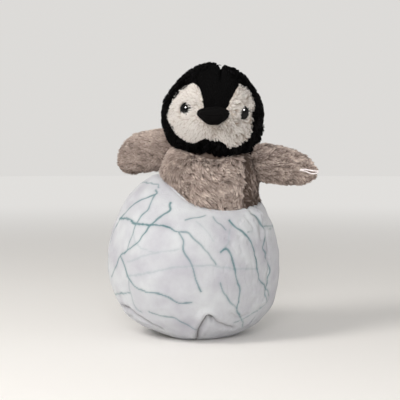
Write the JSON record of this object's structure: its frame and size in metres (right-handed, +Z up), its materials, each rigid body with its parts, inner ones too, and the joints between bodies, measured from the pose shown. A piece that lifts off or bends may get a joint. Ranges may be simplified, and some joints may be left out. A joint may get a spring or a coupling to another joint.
{
  "type": "plush penguin",
  "caption": "Stuffed penguin chick with flippers and a turning head, sitting in the padded pocket of a cracked egg shell with a flat, weighted base.",
  "frame": {"origin": "centre of the flat round base, on the surface the toy stands on", "axes": "+Z up; the penguin's belly faces -Y; +X is the penguin's left"},
  "size_m": [0.1375, 0.1104, 0.1742],
  "materials": {
    "shell_plush": "short white plush printed with teal crack lines",
    "lining_fabric": "plain woven lining",
    "wadding": "loose polyester wadding",
    "pellets": "plastic pellets in a thin cloth bag",
    "belly_plush": "soft taupe pile",
    "body_plush": "soft grey-brown pile",
    "hood_plush": "short black pile",
    "face_plush": "cream pile",
    "beak_fabric": "smooth black velboa",
    "eye_gloss": "glossy moulded black",
    "washer_plastic": "moulded locking washer",
    "cord": "thin braided cord"
  },
  "bodies": {
    "shell": {"shell_front_panel": "shell_plush", "shell_back_panel": "shell_plush", "shell_base_panel": "shell_plush", "shell_wadding": "wadding", "shell_lining": "lining_fabric", "shell_bean_bag": "pellets"},
    "torso": {"belly_panel": "belly_plush", "torso_back_panel": "body_plush", "torso_base_panel": "body_plush", "torso_stuffing": "wadding"},
    "neck": {"neck_stuffing": "wadding"},
    "head": {"hood_left_panel": "hood_plush", "hood_right_panel": "hood_plush", "forehead_panel": "hood_plush", "face_left_panel": "face_plush", "face_right_panel": "face_plush", "head_stuffing": "wadding", "beak_top_panel": "beak_fabric", "beak_underside_panel": "beak_fabric", "beak_stuffing": "wadding", "eye_left": "eye_gloss", "eye_right": "eye_gloss", "eye_washer_left": "washer_plastic", "eye_washer_right": "washer_plastic"},
    "wing_left": {"wing_left_front_panel": "body_plush", "wing_left_back_panel": "body_plush", "wing_left_stuffing": "wadding"},
    "wing_right": {"wing_right_front_panel": "body_plush", "wing_right_back_panel": "body_plush", "wing_right_stuffing": "wadding"},
    "tag": {"tag_loop": "cord"}
  },
  "joints": [
    {"name": "penguin_lift", "type": "slide", "parent": "shell", "child": "torso", "axis": [0.0581, 0.0189, 0.9981], "range_m": [0, 0.095]},
    {"name": "head_turn", "type": "hinge", "parent": "torso", "child": "neck", "pos_m": [0.01432, -0.00462, 0.14642], "axis": [0.0581, 0.0189, 0.9981], "range_deg": [-45, 9]},
    {"name": "head_nod", "type": "hinge", "parent": "neck", "child": "head", "pos_m": [0.01432, -0.00462, 0.14642], "axis": [0.9493, 0.3084, -0.061], "range_deg": [-18, 14]},
    {"name": "wing_left_swing", "type": "hinge", "parent": "torso", "child": "wing_left", "pos_m": [0.04412, -0.00021, 0.11445], "axis": [-0.0581, -0.0189, -0.9981], "range_deg": [-25, 55]},
    {"name": "wing_right_swing", "type": "hinge", "parent": "torso", "child": "wing_right", "pos_m": [-0.01897, -0.00017, 0.11812], "axis": [0.0581, 0.0189, 0.9981], "range_deg": [-25, 55]},
    {"name": "tag_flop", "type": "hinge", "parent": "wing_left", "child": "tag", "pos_m": [0.07016, -0.00069, 0.10833], "axis": [-0.0581, -0.0189, -0.9981], "range_deg": [0, 100]}
  ]
}
